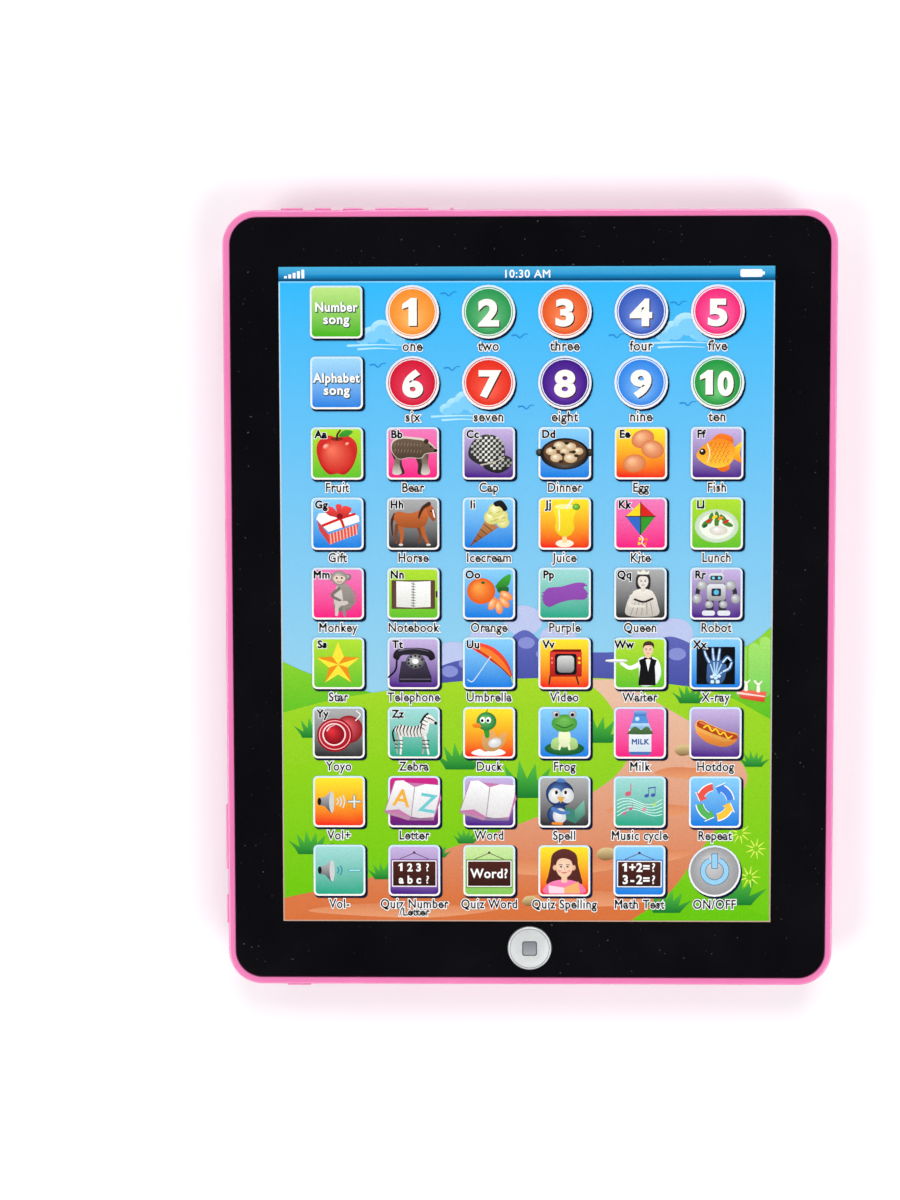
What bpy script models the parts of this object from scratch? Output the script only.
"""Toy tablet: a battery learning toy with a touch keypad, a push button and a speaker in a moulded case.

Dimensions are in millimetres and become metres where a mesh is made.
The tablet lies on its four feet: +X is the user's right, +Y its top end and +Z the screen side.
The origin is the middle of the footprint, on the plane the feet stand on.
"""

import math

import bmesh
import bpy
from mathutils import Matrix, Vector

MM = 0.001

# Case
WIDTH = 190.0
LENGTH = 243.0
BODY_THICKNESS = 23.0
FOOT_STAND = 1.1
BAND_HEIGHT = 5.0
CURVE_INSET = 30.0
CORNER_RADIUS = 10.7
BACK_CORNER_GROWTH = 14.0
RIM_WIDTH = 2.1
RIM_ROUND = 0.5
WALL = 2.0
LEDGE_WIDTH = 1.5
SHELL_TOP = FOOT_STAND + BODY_THICKNESS
BAND_BOTTOM = SHELL_TOP - BAND_HEIGHT
BACK_TOP = FOOT_STAND + WALL
CORNER_STEPS = 8

# Front stack, from the ledge up
PANEL_GAP = 0.25
PANEL_TOP = SHELL_TOP - 2.1
PANEL_THICKNESS = 1.8
PANEL_BOTTOM = PANEL_TOP - PANEL_THICKNESS
LEDGE_TOP = PANEL_BOTTOM - 0.2
FILM_GAP = 0.1
FILM_THICKNESS = 0.25
SPACER_THICKNESS = 0.2
OVERLAY_THICKNESS = 0.4
KEY_COLUMNS = 6
KEY_ROWS = 9
KEY_PITCH_X = 23.6
KEY_PITCH_Y = 21.9
KEY_CENTRE = (-0.9, 2.5)
KEY_HOLE_RADIUS = 6.0

# Home button
BUTTON_Y = -110.0
BUTTON_RADIUS = 6.9
BUTTON_HOLE_RADIUS = 7.2
BUTTON_EAR_REACH = 10.0
BUTTON_TOP = SHELL_TOP - 0.15
DOME_HEIGHT = 2.2

# Main board, hung under the panel
BOARD_SIZE = (86.0, 29.0, 1.6)
BOARD_Y = -100.5
BOARD_TOP = 14.6
BOARD_BOTTOM = BOARD_TOP - BOARD_SIZE[2]
BOARD_PEGS = ((-39.0, -90.5), (39.0, -90.5))
TAIL_X = 14.0
TAIL_WIDTH = 20.0
TAIL_SLOT_Y = -84.0
CLAMP_Y = -93.0
CLAMP_SCREW_SPREAD = 13.0

# Case screws, in wells through the back
CASE_POSTS = ((-72.0, 99.0), (72.0, 99.0), (-76.0, 0.0), (76.0, 0.0), (-72.0, -98.0), (72.0, -98.0))
WELL_RADIUS = 3.4
WELL_DEPTH_TOP = 5.6
BOSS_RADIUS = 5.0
BOSS_BOTTOM = 3.9
BOSS_TOP = 8.0
POST_RADIUS = 3.8
SCREW_SHANK_RADIUS = 1.2
SCREW_BORE_RADIUS = 1.6
SCREW_HEAD_RADIUS = 2.8

# Feet
FOOT_RADIUS = 6.15
FOOT_X = 57.5
FOOT_Y = 77.5
FOOT_RECESS = 0.6

# Battery bay: three AA cells side by side along X
BAY_Y = 30.0
CELL_RADIUS = 7.1
CELL_BODY = 49.0
CELL_LENGTH = 50.5
CELL_PITCH = 14.7
BAY_HALF_X = 29.0
BAY_HALF_Y = 22.3
BAY_WALL = 1.6
BAY_CEILING = 17.8
CELL_Z = 10.4

# Battery door: hinged on two tabs at its +Y edge, held by a captive screw at its -Y edge
DOOR_HALF_X = 33.0
DOOR_LOW_Y = BAY_Y - 33.0
DOOR_HIGH_Y = BAY_Y + 29.5
DOOR_BOTTOM = FOOT_STAND + 0.05
DOOR_TOP = DOOR_BOTTOM + 1.7
DOOR_GAP = 0.3
DOOR_LEDGE = DOOR_TOP + 0.15
DOOR_PAD_TOP = 4.6
TAB_X = 18.0
TAB_HALF_WIDTH = 4.2
DOOR_SCREW_Y = BAY_Y - 28.5

# Speaker, facing the back
SPEAKER_Y = -36.0
SPEAKER_RADIUS = 18.0
SPEAKER_WALL_TOP = 8.0

# Moulded imitation buttons: centre along the edge, length
PAD_STAND = 0.65
TOP_PADS = ((-73.5, 6.8), (-63.9, 5.0), (-54.6, 6.2), (-39.5, 16.5), (-24.0, 1.0))
LEFT_PADS = ((-74.8, 20.6), (-97.8, 8.9))
BOTTOM_PADS = ((-72.9, 7.6),)
BOTTOM_NOTCHES = (-48.0, 48.0)
PAD_BOTTOM = BAND_BOTTOM + 0.5
PAD_TOP = SHELL_TOP - 1.1

PINK = ("pink_abs", (0.86, 0.19, 0.45), 0.25, 0.0)
BLACK_PLASTIC = ("black_plastic", (0.02, 0.02, 0.022), 0.45, 0.0)
PRINT = ("printed_film", (0.10, 0.42, 0.80), 0.15, 0.0)
CLEAR_FILM = ("clear_film", (0.75, 0.80, 0.82), 0.30, 0.0)
SILVER = ("silver_paint", (0.74, 0.75, 0.76), 0.30, 0.4)
RUBBER = ("grey_rubber", (0.30, 0.31, 0.33), 0.80, 0.0)
BOARD_GREEN = ("board_green", (0.02, 0.25, 0.10), 0.40, 0.0)
EPOXY = ("epoxy_black", (0.01, 0.01, 0.01), 0.35, 0.0)
STEEL = ("steel", (0.62, 0.62, 0.63), 0.30, 1.0)
NICKEL = ("nickel", (0.72, 0.70, 0.66), 0.25, 1.0)
FERRITE = ("ferrite", (0.06, 0.06, 0.065), 0.60, 0.0)
PAPER = ("paper_cone", (0.05, 0.05, 0.05), 0.90, 0.0)
FOAM = ("foam_black", (0.03, 0.03, 0.03), 0.95, 0.0)
CELL_SLEEVE = ("cell_sleeve", (0.10, 0.22, 0.55), 0.30, 0.2)
RED_WIRE = ("red_wire", (0.70, 0.03, 0.03), 0.45, 0.0)
BLACK_WIRE = ("black_wire", (0.02, 0.02, 0.02), 0.45, 0.0)
TAN = ("resistor_tan", (0.70, 0.55, 0.35), 0.50, 0.0)


def clear_scene():
    for obj in list(bpy.data.objects):
        bpy.data.objects.remove(obj, do_unlink=True)


def make_collection(name):
    collection = bpy.data.collections.new(name)
    bpy.context.scene.collection.children.link(collection)
    return collection


def get_material(look):
    name, colour, roughness, metallic = look
    material = bpy.data.materials.get(name)
    if material is None:
        material = bpy.data.materials.new(name)
        material.use_nodes = True
        shader = material.node_tree.nodes["Principled BSDF"]
        shader.inputs["Base Color"].default_value = (*colour, 1.0)
        shader.inputs["Roughness"].default_value = roughness
        shader.inputs["Metallic"].default_value = metallic
        material.diffuse_color = (*colour, 1.0)
    return material


def add_object(name, data, look=None):
    """Link a new object to the parts, or to the cutters when it has no look."""
    obj = bpy.data.objects.new(name, data)
    if look is None:
        CUTTERS.objects.link(obj)
        obj.hide_render = True
        obj.display_type = "WIRE"
    else:
        PARTS.objects.link(obj)
        data.materials.append(get_material(look))
    return obj


def smooth(mesh, degrees=35.0):
    mesh.shade_smooth()
    mesh.set_sharp_from_angle(angle=math.radians(degrees))


def mesh_object(name, bm, look=None):
    bmesh.ops.recalc_face_normals(bm, faces=bm.faces)
    mesh = bpy.data.meshes.new(name)
    bm.to_mesh(mesh)
    bm.free()
    smooth(mesh)
    return add_object(name, mesh, look)


def add_box(bm, low, high):
    centre = (Vector(low) + Vector(high)) / 2 * MM
    size = (Vector(high) - Vector(low)) * MM
    matrix = Matrix.Translation(centre) @ Matrix.Diagonal((*size, 1.0))
    bmesh.ops.create_cube(bm, size=1.0, matrix=matrix)


def add_cylinder(bm, x, y, radius, low, high, sides=24):
    matrix = Matrix.Translation(Vector((x, y, (low + high) / 2)) * MM)
    bmesh.ops.create_cone(
        bm,
        cap_ends=True,
        segments=sides,
        radius1=radius * MM,
        radius2=radius * MM,
        depth=(high - low) * MM,
        matrix=matrix,
    )


def boxes(name, corners, look=None):
    bm = bmesh.new()
    for low, high in corners:
        add_box(bm, low, high)
    return mesh_object(name, bm, look)


def cylinders(name, places, radius, low, high, look=None, sides=24):
    bm = bmesh.new()
    for x, y in places:
        add_cylinder(bm, x, y, radius, low, high, sides)
    return mesh_object(name, bm, look)


def boolean(target, cutter, operation):
    modifier = target.modifiers.new(cutter.name, "BOOLEAN")
    modifier.operation = operation
    modifier.object = cutter


def turned(name, profile, look=None, place=(0.0, 0.0), steps=32, closed=False):
    """Turn (radius, z) points, listed down the outer side, about a vertical axis."""
    mesh = bpy.data.meshes.new(name)
    points = [(radius * MM, 0.0, z * MM) for radius, z in profile]
    edges = [(i, i + 1) for i in range(len(points) - 1)]
    if closed:
        edges.append((len(points) - 1, 0))
    mesh.from_pydata(points, edges, [])
    obj = add_object(name, mesh, look)
    obj.location = (place[0] * MM, place[1] * MM, 0.0)
    screw = obj.modifiers.new("turn", "SCREW")
    screw.steps = steps
    screw.render_steps = steps
    screw.use_merge_vertices = True
    screw.merge_threshold = 0.000001
    return obj


def circle(x, y, radius, count):
    angles = [2 * math.pi * i / count for i in range(count)]
    return [(x + radius * math.cos(a), y + radius * math.sin(a)) for a in angles]


def rounded_rectangle(half_x, half_y, radius, steps=CORNER_STEPS, centre=(0.0, 0.0)):
    """Anticlockwise outline with an arc at each corner."""
    points = []
    corners = ((1, 1, 0), (-1, 1, 1), (-1, -1, 2), (1, -1, 3))
    for sign_x, sign_y, quarter in corners:
        middle_x = centre[0] + sign_x * (half_x - radius)
        middle_y = centre[1] + sign_y * (half_y - radius)
        for i in range(steps + 1):
            angle = math.pi / 2 * (quarter + i / steps)
            points.append((middle_x + radius * math.cos(angle), middle_y + radius * math.sin(angle)))
    return points


def flat_plate(name, loops, low, high, look=None):
    """A flat outline with holes, as a filled curve of the given height."""
    curve = bpy.data.curves.new(name, "CURVE")
    curve.dimensions = "2D"
    curve.fill_mode = "BOTH"
    curve.extrude = (high - low) / 2 * MM
    for loop in loops:
        spline = curve.splines.new("POLY")
        spline.points.add(len(loop) - 1)
        spline.use_cyclic_u = True
        for point, (x, y) in zip(spline.points, loop):
            point.co = (x * MM, y * MM, 0.0, 1.0)
    obj = add_object(name, curve, look)
    obj.location.z = (low + high) / 2 * MM
    return obj


def curve_to_mesh(curve_object, look=None):
    """Replace a curve object with a welded mesh object that a Boolean can use."""
    bpy.context.view_layer.update()
    evaluated = curve_object.evaluated_get(bpy.context.evaluated_depsgraph_get())
    mesh = bpy.data.meshes.new_from_object(evaluated)
    mesh.materials.clear()
    bm = bmesh.new()
    bm.from_mesh(mesh)
    bmesh.ops.remove_doubles(bm, verts=bm.verts, dist=0.000001)
    bm.to_mesh(mesh)
    bm.free()
    name = curve_object.name
    matrix = curve_object.matrix_world.copy()
    bpy.data.objects.remove(curve_object, do_unlink=True)
    obj = add_object(name, mesh, look)
    obj.matrix_world = matrix
    smooth(mesh)
    return obj


def smooth_route(points, steps=3):
    """Points of a Catmull-Rom curve through a route's own points."""
    route = [Vector(point) for point in points]
    padded = [2 * route[0] - route[1], *route, 2 * route[-1] - route[-2]]
    result = []
    for a, b, c, d in zip(padded, padded[1:], padded[2:], padded[3:]):
        for i in range(steps):
            t = i / steps
            square = (2 * a - 5 * b + 4 * c - d) * t**2
            cube = (3 * b - a - 3 * c + d) * t**3
            result.append(0.5 * (2 * b + (c - a) * t + square + cube))
    result.append(route[-1])
    return result


def wire(name, points, radius, look):
    curve = bpy.data.curves.new(name, "CURVE")
    curve.dimensions = "3D"
    curve.bevel_depth = radius * MM
    curve.bevel_resolution = 2
    curve.use_fill_caps = True
    spline = curve.splines.new("POLY")
    spline.points.add(len(points) - 1)
    for point, place in zip(spline.points, points):
        point.co = (*(place * MM), 1.0)
    return add_object(name, curve, look)


def set_origin(obj, point):
    """Move an object's origin to a point and leave its mesh where it is."""
    offset = Vector(point) * MM
    obj.data.transform(Matrix.Translation(obj.location - offset))
    obj.location = offset


def quarter_rings(inset, flank_inset, edge, flat, radius, growth, count):
    """Rings of a quarter-ellipse flank between the flat back and the upright wall."""
    rings = []
    for i in range(count + 1):
        angle = math.pi / 2 * i / count
        step = flank_inset * (1 - math.sin(angle))
        z = edge - (edge - flat) * math.cos(angle)
        rings.append((inset + step, radius + growth * step / flank_inset, z))
    return rings


def loft_shell(name, look):
    """The case's skin: up the outside, over the rim, down to the ledge and along the inside."""
    wall_inset = RIM_WIDTH + LEDGE_WIDTH
    growth = BACK_CORNER_GROWTH
    outside = quarter_rings(0.0, CURVE_INSET, BAND_BOTTOM, FOOT_STAND, CORNER_RADIUS, growth, 9)
    inner_flank = CURVE_INSET - wall_inset
    inner_radius = CORNER_RADIUS - wall_inset
    inside = quarter_rings(wall_inset, inner_flank, BAND_BOTTOM, BACK_TOP, inner_radius, growth, 7)
    rim = [
        (0.0, CORNER_RADIUS, SHELL_TOP - RIM_ROUND),
        (RIM_ROUND, CORNER_RADIUS - RIM_ROUND, SHELL_TOP),
        (RIM_WIDTH, CORNER_RADIUS - RIM_WIDTH, SHELL_TOP),
        (RIM_WIDTH, CORNER_RADIUS - RIM_WIDTH, LEDGE_TOP),
        (wall_inset, inner_radius, LEDGE_TOP),
    ]
    bm = bmesh.new()
    rings = []
    for inset, radius, z in [*outside, *rim, *reversed(inside)]:
        outline = rounded_rectangle(WIDTH / 2 - inset, LENGTH / 2 - inset, radius)
        rings.append([bm.verts.new((x * MM, y * MM, z * MM)) for x, y in outline])
    for lower, upper in zip(rings, rings[1:]):
        for i in range(len(lower)):
            j = (i + 1) % len(lower)
            bm.faces.new((lower[i], lower[j], upper[j], upper[i]))
    bm.faces.new(reversed(rings[0]))
    bm.faces.new(rings[-1])
    return mesh_object(name, bm, look)


def side_pads():
    """The moulded imitation buttons on the top, left and bottom edges."""
    root = 1.0
    pads = []
    for middle, length in TOP_PADS:
        half, edge = length / 2, LENGTH / 2
        pads.append(((middle - half, edge - root, PAD_BOTTOM), (middle + half, edge + PAD_STAND, PAD_TOP)))
    for middle, length in BOTTOM_PADS:
        half, edge = length / 2, -LENGTH / 2
        pads.append(((middle - half, edge - PAD_STAND, PAD_BOTTOM), (middle + half, edge + root, PAD_TOP)))
    for middle, length in LEFT_PADS:
        half, edge = length / 2, -WIDTH / 2
        pads.append(((edge - PAD_STAND, middle - half, PAD_BOTTOM), (edge + root, middle + half, PAD_TOP)))
    return boxes("side_pads", pads)


def grille_places():
    """One hole in the middle and two rings of six and twelve."""
    places = [(0.0, SPEAKER_Y)]
    for ring in (1, 2):
        places += circle(0.0, SPEAKER_Y, 5.0 * ring, 6 * ring)
    return places


def foot_places():
    return [(x, y) for y in (FOOT_Y, -FOOT_Y) for x in (-FOOT_X, FOOT_X)]


def case_boss_cutters():
    wells = cylinders("wells", CASE_POSTS, WELL_RADIUS, 0.0, WELL_DEPTH_TOP, sides=20)
    radius = SCREW_BORE_RADIUS + 0.2
    holes = cylinders("case_holes", CASE_POSTS, radius, WELL_DEPTH_TOP - 0.5, BOSS_TOP + 0.5, sides=12)
    return wells, holes


def door_slots():
    """Pockets that the door's two tabs hook into, open to the inside of the case."""
    low_y = DOOR_HIGH_Y - 4.5
    high_y = DOOR_HIGH_Y + 4.2
    slots = []
    for x in (-TAB_X, TAB_X):
        half = TAB_HALF_WIDTH + 0.6
        slots.append(((x - half, low_y, FOOT_STAND + 1.6), (x + half, high_y, DOOR_PAD_TOP + 0.6)))
    return boxes("tab_slots", slots)


def build_rear_shell():
    shell = loft_shell("rear_shell", PINK)
    bay_x = BAY_HALF_X + BAY_WALL
    bay_y = BAY_HALF_Y + BAY_WALL
    bay = boxes("bay_block", [((-bay_x, BAY_Y - bay_y, 2.4), (bay_x, BAY_Y + bay_y, BAY_CEILING + BAY_WALL))])
    pad_x = DOOR_HALF_X + 2.5
    pad = boxes("door_pad", [((-pad_x, DOOR_LOW_Y - 2.5, 2.2), (pad_x, DOOR_HIGH_Y + 6.0, DOOR_PAD_TOP))])
    boss = cylinders("door_boss", [(0.0, DOOR_SCREW_Y)], 4.0, 2.6, 10.5, sides=20)
    bosses = cylinders("case_bosses", CASE_POSTS, BOSS_RADIUS, BOSS_BOTTOM, BOSS_TOP, sides=20)
    ring = SPEAKER_RADIUS + 0.4
    speaker_wall = turned(
        "speaker_wall",
        [(ring + 1.6, SPEAKER_WALL_TOP), (ring + 1.6, 2.7), (ring, 2.7), (ring, SPEAKER_WALL_TOP)],
        place=(0.0, SPEAKER_Y),
        steps=28,
        closed=True,
    )
    for addition in (bay, pad, boss, bosses, speaker_wall, side_pads()):
        boolean(shell, addition, "UNION")

    cavity = boxes(
        "bay_cavity",
        [((-BAY_HALF_X, BAY_Y - BAY_HALF_Y, 0.5), (BAY_HALF_X, BAY_Y + BAY_HALF_Y, BAY_CEILING))],
    )
    recess_x = DOOR_HALF_X + DOOR_GAP
    recess_corner = (recess_x, DOOR_HIGH_Y + DOOR_GAP, DOOR_LEDGE)
    recess = boxes("door_recess", [((-recess_x, DOOR_LOW_Y - DOOR_GAP, 0.5), recess_corner)])
    screw_place = [(0.0, DOOR_SCREW_Y)]
    bore = cylinders("door_screw_bore", screw_place, SCREW_BORE_RADIUS, DOOR_LEDGE - 0.5, 9.0, sides=16)
    wells, holes = case_boss_cutters()
    grille = cylinders("grille", grille_places(), 1.2, 0.5, BACK_TOP + 0.5, sides=8)
    feet = cylinders("foot_recesses", foot_places(), FOOT_RADIUS + 0.2, 0.5, FOOT_STAND + FOOT_RECESS)
    half, edge = 0.65, -LENGTH / 2
    notches = boxes(
        "bottom_notches",
        [((x - half, edge - 1.0, PAD_BOTTOM), (x + half, edge + 0.5, PAD_TOP)) for x in BOTTOM_NOTCHES],
    )
    for cutter in (cavity, recess, door_slots(), bore, wells, holes, grille, feet, notches):
        boolean(shell, cutter, "DIFFERENCE")
    return shell


def panel_outline(steps=4):
    inset = RIM_WIDTH + PANEL_GAP
    return rounded_rectangle(WIDTH / 2 - inset, LENGTH / 2 - inset, CORNER_RADIUS - inset, steps)


def button_hole(radius, count=20):
    return circle(0.0, BUTTON_Y, radius, count)


def tail_slot():
    half = TAIL_WIDTH / 2 + 0.8
    return rounded_rectangle(half, 1.2, 0.4, 2, (TAIL_X, TAIL_SLOT_Y))


def build_front_panel():
    loops = [panel_outline(), button_hole(BUTTON_HOLE_RADIUS + 0.1), tail_slot()]
    plate = flat_plate("front_panel", loops, PANEL_BOTTOM, PANEL_TOP, BLACK_PLASTIC)
    panel = curve_to_mesh(plate, BLACK_PLASTIC)
    root = PANEL_BOTTOM + 0.8
    boolean(panel, cylinders("posts", CASE_POSTS, POST_RADIUS, BOSS_TOP + 0.1, root, sides=16), "UNION")
    boolean(panel, cylinders("pegs", BOARD_PEGS, 3.0, BOARD_TOP + 0.1, root, sides=16), "UNION")
    boolean(panel, cylinders("post_bores", CASE_POSTS, SCREW_BORE_RADIUS, 6.0, 17.0, sides=12), "DIFFERENCE")
    peg_bores = cylinders("peg_bores", BOARD_PEGS, SCREW_BORE_RADIUS - 0.3, 12.0, 18.5, sides=12)
    boolean(panel, peg_bores, "DIFFERENCE")
    return panel


def key_places():
    """Centres of the printed keys, row by row from the top left."""
    places = []
    for row in range(KEY_ROWS):
        y = KEY_CENTRE[1] + KEY_PITCH_Y * ((KEY_ROWS - 1) / 2 - row)
        for column in range(KEY_COLUMNS):
            places.append((KEY_CENTRE[0] + KEY_PITCH_X * (column - (KEY_COLUMNS - 1) / 2), y))
    return places


def build_front_sheets():
    """The printed sheet and the three films of the touch keypad, stacked on the panel."""
    outline = panel_outline()
    hole = button_hole(BUTTON_HOLE_RADIUS + 0.5)
    spacer_holes = [circle(x, y, KEY_HOLE_RADIUS, 8) for x, y in key_places()]
    low = PANEL_TOP + FILM_GAP
    flat_plate("membrane_lower", [outline, hole], low, low + FILM_THICKNESS, CLEAR_FILM)
    low += FILM_THICKNESS + FILM_GAP
    flat_plate("membrane_spacer", [outline, hole, *spacer_holes], low, low + SPACER_THICKNESS, CLEAR_FILM)
    low += SPACER_THICKNESS + FILM_GAP
    flat_plate("membrane_upper", [outline, hole], low, low + FILM_THICKNESS, CLEAR_FILM)
    low += FILM_THICKNESS + FILM_GAP
    face = [panel_outline(CORNER_STEPS), button_hole(BUTTON_HOLE_RADIUS, 32)]
    flat_plate("printed_overlay", face, low, low + OVERLAY_THICKNESS, PRINT)


def build_home_button():
    """A domed cap with a stem under it, and two ears that stop it under the panel."""
    ear_top = PANEL_BOTTOM - 0.3
    ear_bottom = ear_top - 1.3
    profile = [
        (0.0, BUTTON_TOP),
        (BUTTON_RADIUS * 0.5, BUTTON_TOP - 0.08),
        (BUTTON_RADIUS - 0.5, BUTTON_TOP - 0.3),
        (BUTTON_RADIUS, BUTTON_TOP - 0.7),
        (BUTTON_RADIUS, ear_bottom),
        (2.5, ear_bottom),
        (2.5, BOARD_TOP + DOME_HEIGHT + 0.2),
        (0.0, BOARD_TOP + DOME_HEIGHT + 0.2),
    ]
    button = turned("home_button", profile, SILVER, (0.0, BUTTON_Y))
    ears = [((-BUTTON_EAR_REACH, BUTTON_Y - 3.0, ear_bottom), (BUTTON_EAR_REACH, BUTTON_Y + 3.0, ear_top))]
    boolean(button, boxes("button_ears", ears), "UNION")


def build_button_dome():
    low = BOARD_TOP + 0.1
    top = BOARD_TOP + DOME_HEIGHT
    skirt = [(4.4, low + 0.4), (4.4, low), (0.0, low)]
    profile = [(0.0, top), (2.0, top), (2.6, top - 0.4), (3.8, low + 0.4), *skirt]
    turned("button_dome", profile, RUBBER, (0.0, BUTTON_Y), 24)


def clamp_screw_places():
    return [(TAIL_X - CLAMP_SCREW_SPREAD, CLAMP_Y), (TAIL_X + CLAMP_SCREW_SPREAD, CLAMP_Y)]


def build_main_board():
    outline = rounded_rectangle(BOARD_SIZE[0] / 2, BOARD_SIZE[1] / 2, 1.5, 2, (0.0, BOARD_Y))
    holes = [circle(x, y, SCREW_BORE_RADIUS, 16) for x, y in [*BOARD_PEGS, *clamp_screw_places()]]
    flat_plate("main_board", [outline, *holes], BOARD_BOTTOM, BOARD_TOP, BOARD_GREEN)
    top = BOARD_BOTTOM - 0.1
    blob = [(0.0, top), (5.5, top), (5.2, top - 0.9), (3.6, top - 1.6), (0.0, top - 1.9)]
    turned("chip_blob", blob, EPOXY, (-16.0, -101.0), 24)
    cylinders("capacitor", [(8.0, -99.0)], 2.5, top - 6.5, top, STEEL, 20)
    for index, x in enumerate((18.0, 23.0), 1):
        resistor = cylinders(f"resistor_{index}", [(0.0, 0.0)], 0.9, -2.3, 2.3, TAN, 12)
        resistor.rotation_euler.x = math.pi / 2
        resistor.location = Vector((x, -100.0, top - 0.95)) * MM


def screw_profile(head_top, length, head_height=1.8, head_radius=SCREW_HEAD_RADIUS, shank=SCREW_SHANK_RADIUS):
    """A screw that points down from the top of its head."""
    under = head_top - head_height
    tip = head_top - length
    return [
        (0.0, head_top),
        (head_radius * 0.7, head_top),
        (head_radius, head_top - head_height * 0.5),
        (head_radius, under),
        (shank, under),
        (shank, tip + 1.0),
        (0.0, tip),
    ]


def upturned_screw_profile(head_bottom, length, **head):
    """A screw that points up from the bottom of its head, listed from its tip down."""
    down = screw_profile(head_bottom, length, **head)
    return [(radius, 2 * head_bottom - z) for radius, z in reversed(down)]


def cross_slot(screw, place, z_low, z_high, reach):
    """Cut a cross into a screw's head."""
    x, y = place
    for axis in (0, 1):
        half = [0.3, 0.3]
        half[axis] = reach
        corners = ((x - half[0], y - half[1], z_low), (x + half[0], y + half[1], z_high))
        cutter = boxes(f"{screw.name}_slot_{axis}", [corners])
        boolean(screw, cutter, "DIFFERENCE")


def build_board_screws():
    head_bottom = BOARD_BOTTOM - 1.9
    profile = upturned_screw_profile(head_bottom, 6.5, head_height=1.6, head_radius=2.4, shank=1.0)
    for index, place in enumerate(BOARD_PEGS, 1):
        turned(f"board_screw_{index}", profile, STEEL, place, 16)


def build_tail():
    """The ribbon drops through the slot, turns forward and lies on the board under its clamp."""
    high = PANEL_TOP
    low = BOARD_TOP + 0.25
    bend = 2.0
    profile = [(TAIL_SLOT_Y, high)]
    for i in range(7):
        angle = math.pi / 2 * i / 6
        profile.append((TAIL_SLOT_Y - bend + bend * math.cos(angle), low + bend - bend * math.sin(angle)))
    profile.append((CLAMP_Y - 2.5, low))
    bm = bmesh.new()
    rows = []
    for y, z in profile:
        rows.append([bm.verts.new(Vector((TAIL_X + side * TAIL_WIDTH / 2, y, z)) * MM) for side in (-1, 1)])
    for (a, b), (c, d) in zip(rows, rows[1:]):
        bm.faces.new((a, b, d, c))
    tail = mesh_object("membrane_tail", bm, CLEAR_FILM)
    solidify = tail.modifiers.new("thickness", "SOLIDIFY")
    solidify.thickness = 0.2 * MM
    solidify.offset = 0.0


def build_tail_clamp():
    low = BOARD_TOP + 0.5
    high = low + 2.0
    half_x = CLAMP_SCREW_SPREAD + 3.0
    outline = rounded_rectangle(half_x, 2.2, 0.8, 2, (TAIL_X, CLAMP_Y))
    holes = [circle(x, y, SCREW_BORE_RADIUS, 16) for x, y in clamp_screw_places()]
    flat_plate("tail_clamp", [outline, *holes], low, high, BLACK_PLASTIC)
    for index, place in enumerate(clamp_screw_places(), 1):
        turned(f"clamp_screw_{index}", screw_profile(high + 1.7, 6.5, 1.6, 2.2, 1.0), STEEL, place, 16)


def build_case_screws():
    head_bottom = WELL_DEPTH_TOP - 2.1
    for index, place in enumerate(CASE_POSTS, 1):
        screw = turned(f"case_screw_{index}", upturned_screw_profile(head_bottom, 12.0), STEEL, place, 16)
        cross_slot(screw, place, head_bottom - 0.5, head_bottom + 0.9, 1.6)


def build_feet():
    for index, (x, y) in enumerate(foot_places(), 1):
        top = FOOT_STAND + FOOT_RECESS - 0.1
        profile = [(0.0, top), (FOOT_RADIUS, top), (FOOT_RADIUS, 0.35), (FOOT_RADIUS - 0.35, 0.0), (0.0, 0.0)]
        turned(f"foot_{index}", profile, RUBBER, (x, y), 24)


def door_tab(x):
    """An L-shaped hook on the door's inner face, drawn in Y and Z and given its width in X."""
    outline = [(-3.0, 1.35), (-0.2, 1.35), (-0.2, 1.85), (2.5, 1.85), (2.5, 3.05), (-3.0, 3.05)]
    bm = bmesh.new()
    ends = []
    for side in (-TAB_HALF_WIDTH, TAB_HALF_WIDTH):
        points = [Vector((x + side, DOOR_HIGH_Y + y, DOOR_BOTTOM + z)) * MM for y, z in outline]
        ends.append([bm.verts.new(point) for point in points])
    bm.faces.new(ends[0])
    bm.faces.new(ends[1])
    for i in range(len(outline)):
        j = (i + 1) % len(outline)
        bm.faces.new((ends[0][i], ends[0][j], ends[1][j], ends[1][i]))
    return mesh_object(f"tab_{'left' if x < 0 else 'right'}", bm)


def build_battery_door():
    middle_y = (DOOR_LOW_Y + DOOR_HIGH_Y) / 2
    outline = rounded_rectangle(DOOR_HALF_X, (DOOR_HIGH_Y - DOOR_LOW_Y) / 2, 0.8, 3, (0.0, middle_y))
    plate = flat_plate("battery_door", [outline], DOOR_BOTTOM, DOOR_TOP, PINK)
    door = curve_to_mesh(plate, PINK)
    set_origin(door, (0.0, DOOR_HIGH_Y, DOOR_BOTTOM))
    for x in (-TAB_X, TAB_X):
        boolean(door, door_tab(x), "UNION")
    place = [(0.0, DOOR_SCREW_Y)]
    boolean(door, cylinders("door_sink", place, 2.9, 0.5, DOOR_BOTTOM + 1.2, sides=20), "DIFFERENCE")
    boolean(door, cylinders("door_hole", place, 1.7, 0.5, DOOR_TOP + 0.5, sides=16), "DIFFERENCE")
    grips = []
    for i in range(4):
        y = DOOR_LOW_Y + 13.0 + 2.4 * i
        grips.append(((-12.0, y, 0.5), (12.0, y + 1.0, DOOR_BOTTOM + 0.5)))
    boolean(door, boxes("door_grips", grips), "DIFFERENCE")
    return door


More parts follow.
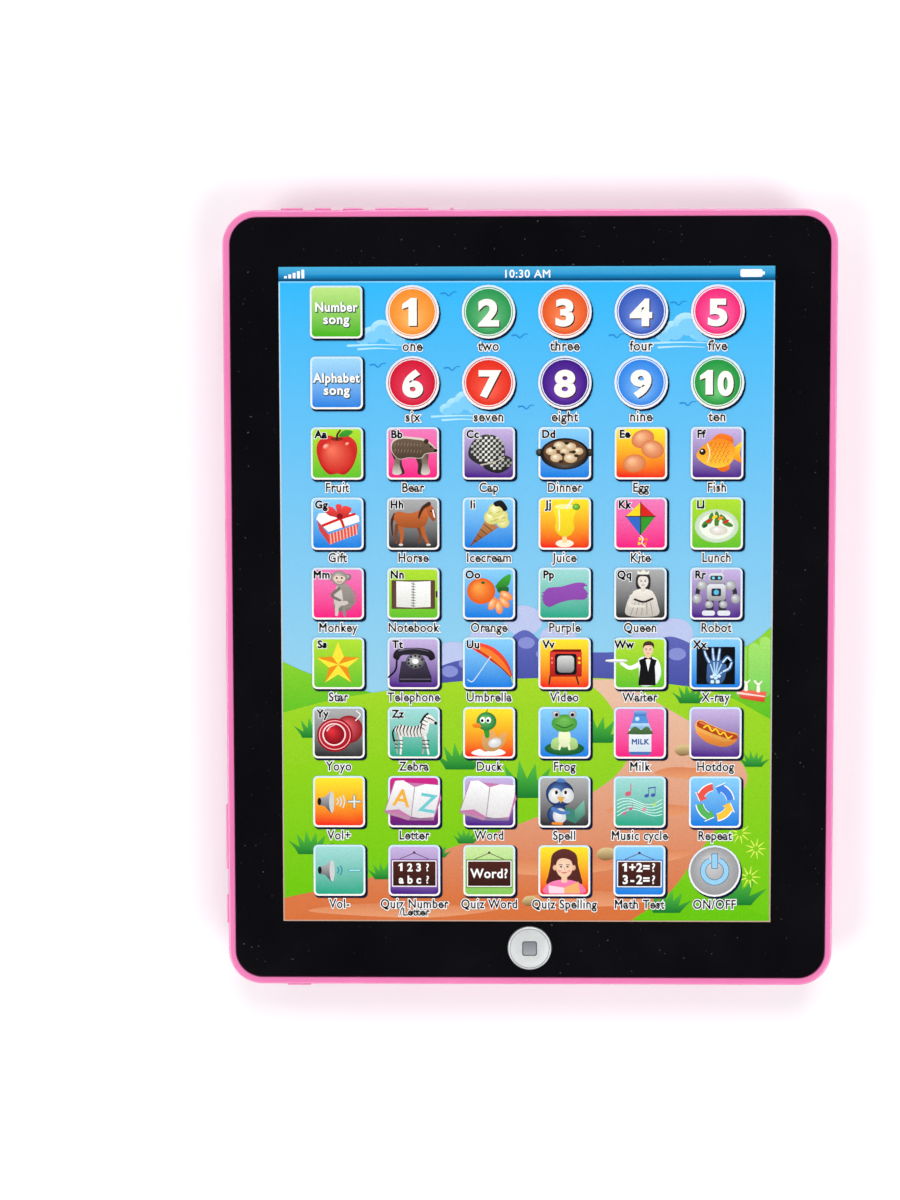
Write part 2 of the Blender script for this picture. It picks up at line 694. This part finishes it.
def build_door_screw(door):
    """The captive screw rides on the door."""
    head_bottom = DOOR_BOTTOM + 0.15
    place = (0.0, DOOR_SCREW_Y)
    profile = upturned_screw_profile(head_bottom, 4.5, head_height=0.9, head_radius=2.5)
    screw = turned("door_screw", profile, STEEL, place, 20)
    cross_slot(screw, place, 0.5, head_bottom + 0.5, 1.6)
    bpy.context.view_layer.update()
    screw.parent = door
    screw.matrix_parent_inverse = door.matrix_world.inverted()


def cell_rows():
    """Each cell's Y and the side its positive end points to; neighbours alternate."""
    return [(BAY_Y + CELL_PITCH * (1 - i), 1 if i % 2 == 0 else -1) for i in range(3)]


def build_cells():
    nub = CELL_LENGTH - CELL_BODY
    for index, (y, side) in enumerate(cell_rows(), 1):
        half = CELL_LENGTH / 2
        profile = [
            (0.0, half),
            (2.6, half),
            (2.6, half - nub),
            (CELL_RADIUS - 0.4, half - nub),
            (CELL_RADIUS, half - nub - 0.4),
            (CELL_RADIUS, 0.4 - half),
            (CELL_RADIUS - 0.4, -half),
            (0.0, -half),
        ]
        cell = turned(f"cell_{index}", profile, CELL_SLEEVE, steps=20)
        cell.rotation_euler.y = side * math.pi / 2
        cell.location = Vector((side * 2.1, y, CELL_Z)) * MM


def build_contacts():
    """Plates against the bay's end walls, and a spring at each cell's negative end."""
    wall = BAY_HALF_X - 0.3
    thickness = 0.5
    half = 5.5
    first, second, third = (y for y, _ in cell_rows())
    spans = (
        (-1, first - half, first + half),
        (-1, third - half, second + half),
        (1, second - half, first + half),
        (1, third - half, third + half),
    )
    for index, (side, low_y, high_y) in enumerate(spans, 1):
        low_x, high_x = sorted((side * wall, side * (wall - thickness)))
        corners = ((low_x, low_y, CELL_Z - 5.5), (high_x, high_y, CELL_Z + 5.5))
        boxes(f"contact_plate_{index}", [corners], NICKEL)
    for index, (y, side) in enumerate(cell_rows(), 1):
        start = wall - thickness - 0.75
        end = CELL_LENGTH / 2 - 2.1 + 0.75
        turns = 2.5
        steps = 18
        points = []
        for i in range(steps + 1):
            t = i / steps
            angle = 2 * math.pi * turns * t
            radius = 4.6 - 2.0 * t
            x = -side * (start + (end - start) * t)
            points.append(Vector((x, y + radius * math.cos(angle), CELL_Z + radius * math.sin(angle))))
        wire(f"contact_spring_{index}", points, 0.4, NICKEL)


def build_speaker():
    """A 36 mm speaker, cone towards the grille: gasket, basket, magnet and cone."""
    place = (0.0, SPEAKER_Y)
    floor = BACK_TOP + 0.1
    gasket = [(17.8, floor + 0.8), (17.8, floor), (14.6, floor), (14.6, floor + 0.8)]
    turned("speaker_gasket", gasket, FOAM, place, 24, closed=True)
    base = floor + 0.9
    basket = [
        (10.6, base + 6.6),
        (16.2, base + 1.2),
        (17.9, base + 1.0),
        (17.9, base),
        (15.4, base),
        (9.9, base + 5.4),
        (6.0, base + 5.4),
        (6.0, base + 6.6),
    ]
    turned("speaker_basket", basket, STEEL, place, 24, closed=True)
    magnet_low = base + 6.7
    magnet_top = magnet_low + 4.5
    magnet_edge = [(10.6, magnet_top), (11.0, magnet_top - 0.4), (11.0, magnet_low)]
    magnet = [(0.0, magnet_top), *magnet_edge, (0.0, magnet_low)]
    turned("speaker_magnet", magnet, FERRITE, place, 24)
    cone_edge = base + 0.9
    cone = [
        (0.0, cone_edge + 2.7),
        (2.5, cone_edge + 3.0),
        (4.8, cone_edge + 3.9),
        (13.2, cone_edge + 0.4),
        (13.6, cone_edge),
        (13.0, cone_edge),
        (4.9, cone_edge + 3.3),
        (2.7, cone_edge + 2.5),
        (0.0, cone_edge + 2.2),
    ]
    turned("speaker_cone", cone, PAPER, place, 24)


def build_wires():
    """Leads from the speaker and the bay's contacts to the board."""
    board_edge = BOARD_Y + BOARD_SIZE[1] / 2
    end_z = BOARD_BOTTOM - 1.0
    speaker_back = BACK_TOP + 14.0
    for index, (side, look) in enumerate(((-1, RED_WIRE), (1, BLACK_WIRE)), 1):
        x = 5.0 * side
        route = [
            (9.5 * side, SPEAKER_Y - 14.2, 12.8),
            (9.0 * side, SPEAKER_Y - 24.0, speaker_back - 4.5),
            (x - 12.0, board_edge + 14.0, 9.0),
            (x - 24.0, board_edge + 3.0, 9.0),
            (x - 26.0, board_edge - 4.0, end_z),
        ]
        wire(f"speaker_wire_{index}", smooth_route(route), 0.5, look)
    for index, (side, look) in enumerate(((-1, BLACK_WIRE), (1, RED_WIRE)), 1):
        out = BAY_HALF_X + BAY_WALL + 1.6
        route = [
            (side * out, BAY_Y + side * -CELL_PITCH, 12.0),
            (side * (out + 4.0), BAY_Y - 26.0, 9.0),
            (side * 36.0, -20.0, 8.0),
            (side * 35.0, -60.0, 8.5),
            (side * 34.0, board_edge + 2.0, 9.0),
            (side * 33.0, board_edge - 5.0, end_z),
        ]
        wire(f"battery_wire_{index}", smooth_route(route), 0.5, look)


def build_tablet():
    build_rear_shell()
    build_front_panel()
    build_front_sheets()
    build_home_button()
    build_button_dome()
    build_main_board()
    build_board_screws()
    build_tail()
    build_tail_clamp()
    build_case_screws()
    build_feet()
    build_door_screw(build_battery_door())
    build_cells()
    build_contacts()
    build_speaker()
    build_wires()


clear_scene()
PARTS = make_collection("toy_tablet")
CUTTERS = make_collection("cutters")
build_tablet()
